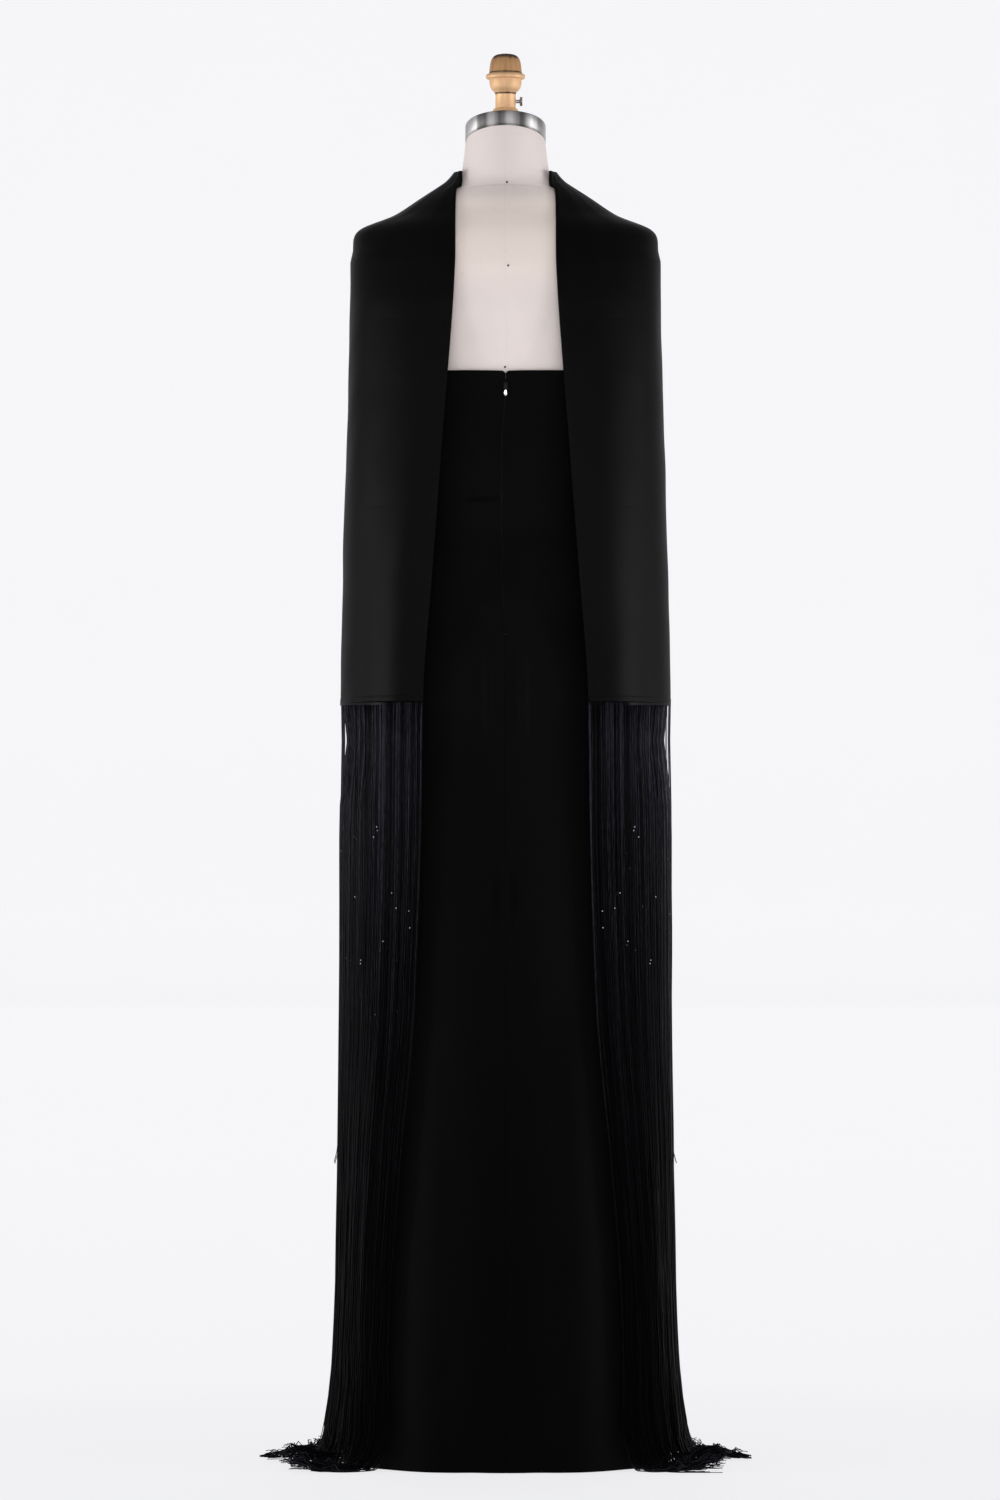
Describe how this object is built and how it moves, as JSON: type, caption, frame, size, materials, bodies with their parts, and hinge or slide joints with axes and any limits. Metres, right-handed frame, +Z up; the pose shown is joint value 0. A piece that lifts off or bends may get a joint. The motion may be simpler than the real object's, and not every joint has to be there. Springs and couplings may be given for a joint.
{
  "type": "evening gown with fringed shoulder scarves on a limbless dress form and stand",
  "caption": "Floor-length strapless column gown with back zip and two fringed shoulder scarves, on a padded dress form with a round-based stand.",
  "frame": {"origin": "centre of the underside of the stand's round base, on the floor", "axes": "+Z up, +Y out of the gown's zipped back, +X towards the wearer's left"},
  "size_m": [0.6324, 0.3114, 1.7558],
  "materials": {
    "crepe": "matt black crepe",
    "scarf_crepe": "black crepe with a faint sheen",
    "fringe": "black silky yarn",
    "form_linen": "cream woven cover",
    "steel": "brushed",
    "brass": "satin",
    "zip_metal": "bright",
    "stand_paint": "black satin paint"
  },
  "bodies": {
    "form_and_gown": {"gown_front_left": "crepe", "gown_front_right": "crepe", "gown_back_left": "crepe", "gown_back_right": "crepe", "scarf_left": "scarf_crepe", "scarf_right": "scarf_crepe", "fringe_left": "fringe", "fringe_right": "fringe", "zip_slider": "zip_metal", "form_torso": "form_linen", "neck_cap": "steel", "neck_knob": "brass", "stand_plate": "steel", "stand_pole": "steel", "stand_base": "stand_paint"},
    "pull_tab": {"zip_pull": "zip_metal"},
    "thumb_screw": {"neck_screw": "steel"}
  },
  "joints": [
    {"name": "pull_tab_hinge", "type": "hinge", "parent": "form_and_gown", "child": "pull_tab", "pos_m": [0, 0.10784, 1.33257], "axis": [1, 0, 0], "range_deg": [0, 160]},
    {"name": "thumb_screw_turn", "type": "hinge", "parent": "form_and_gown", "child": "thumb_screw", "pos_m": [0, -0.008, 1.6965], "axis": [1, 0, 0], "continuous": true}
  ]
}
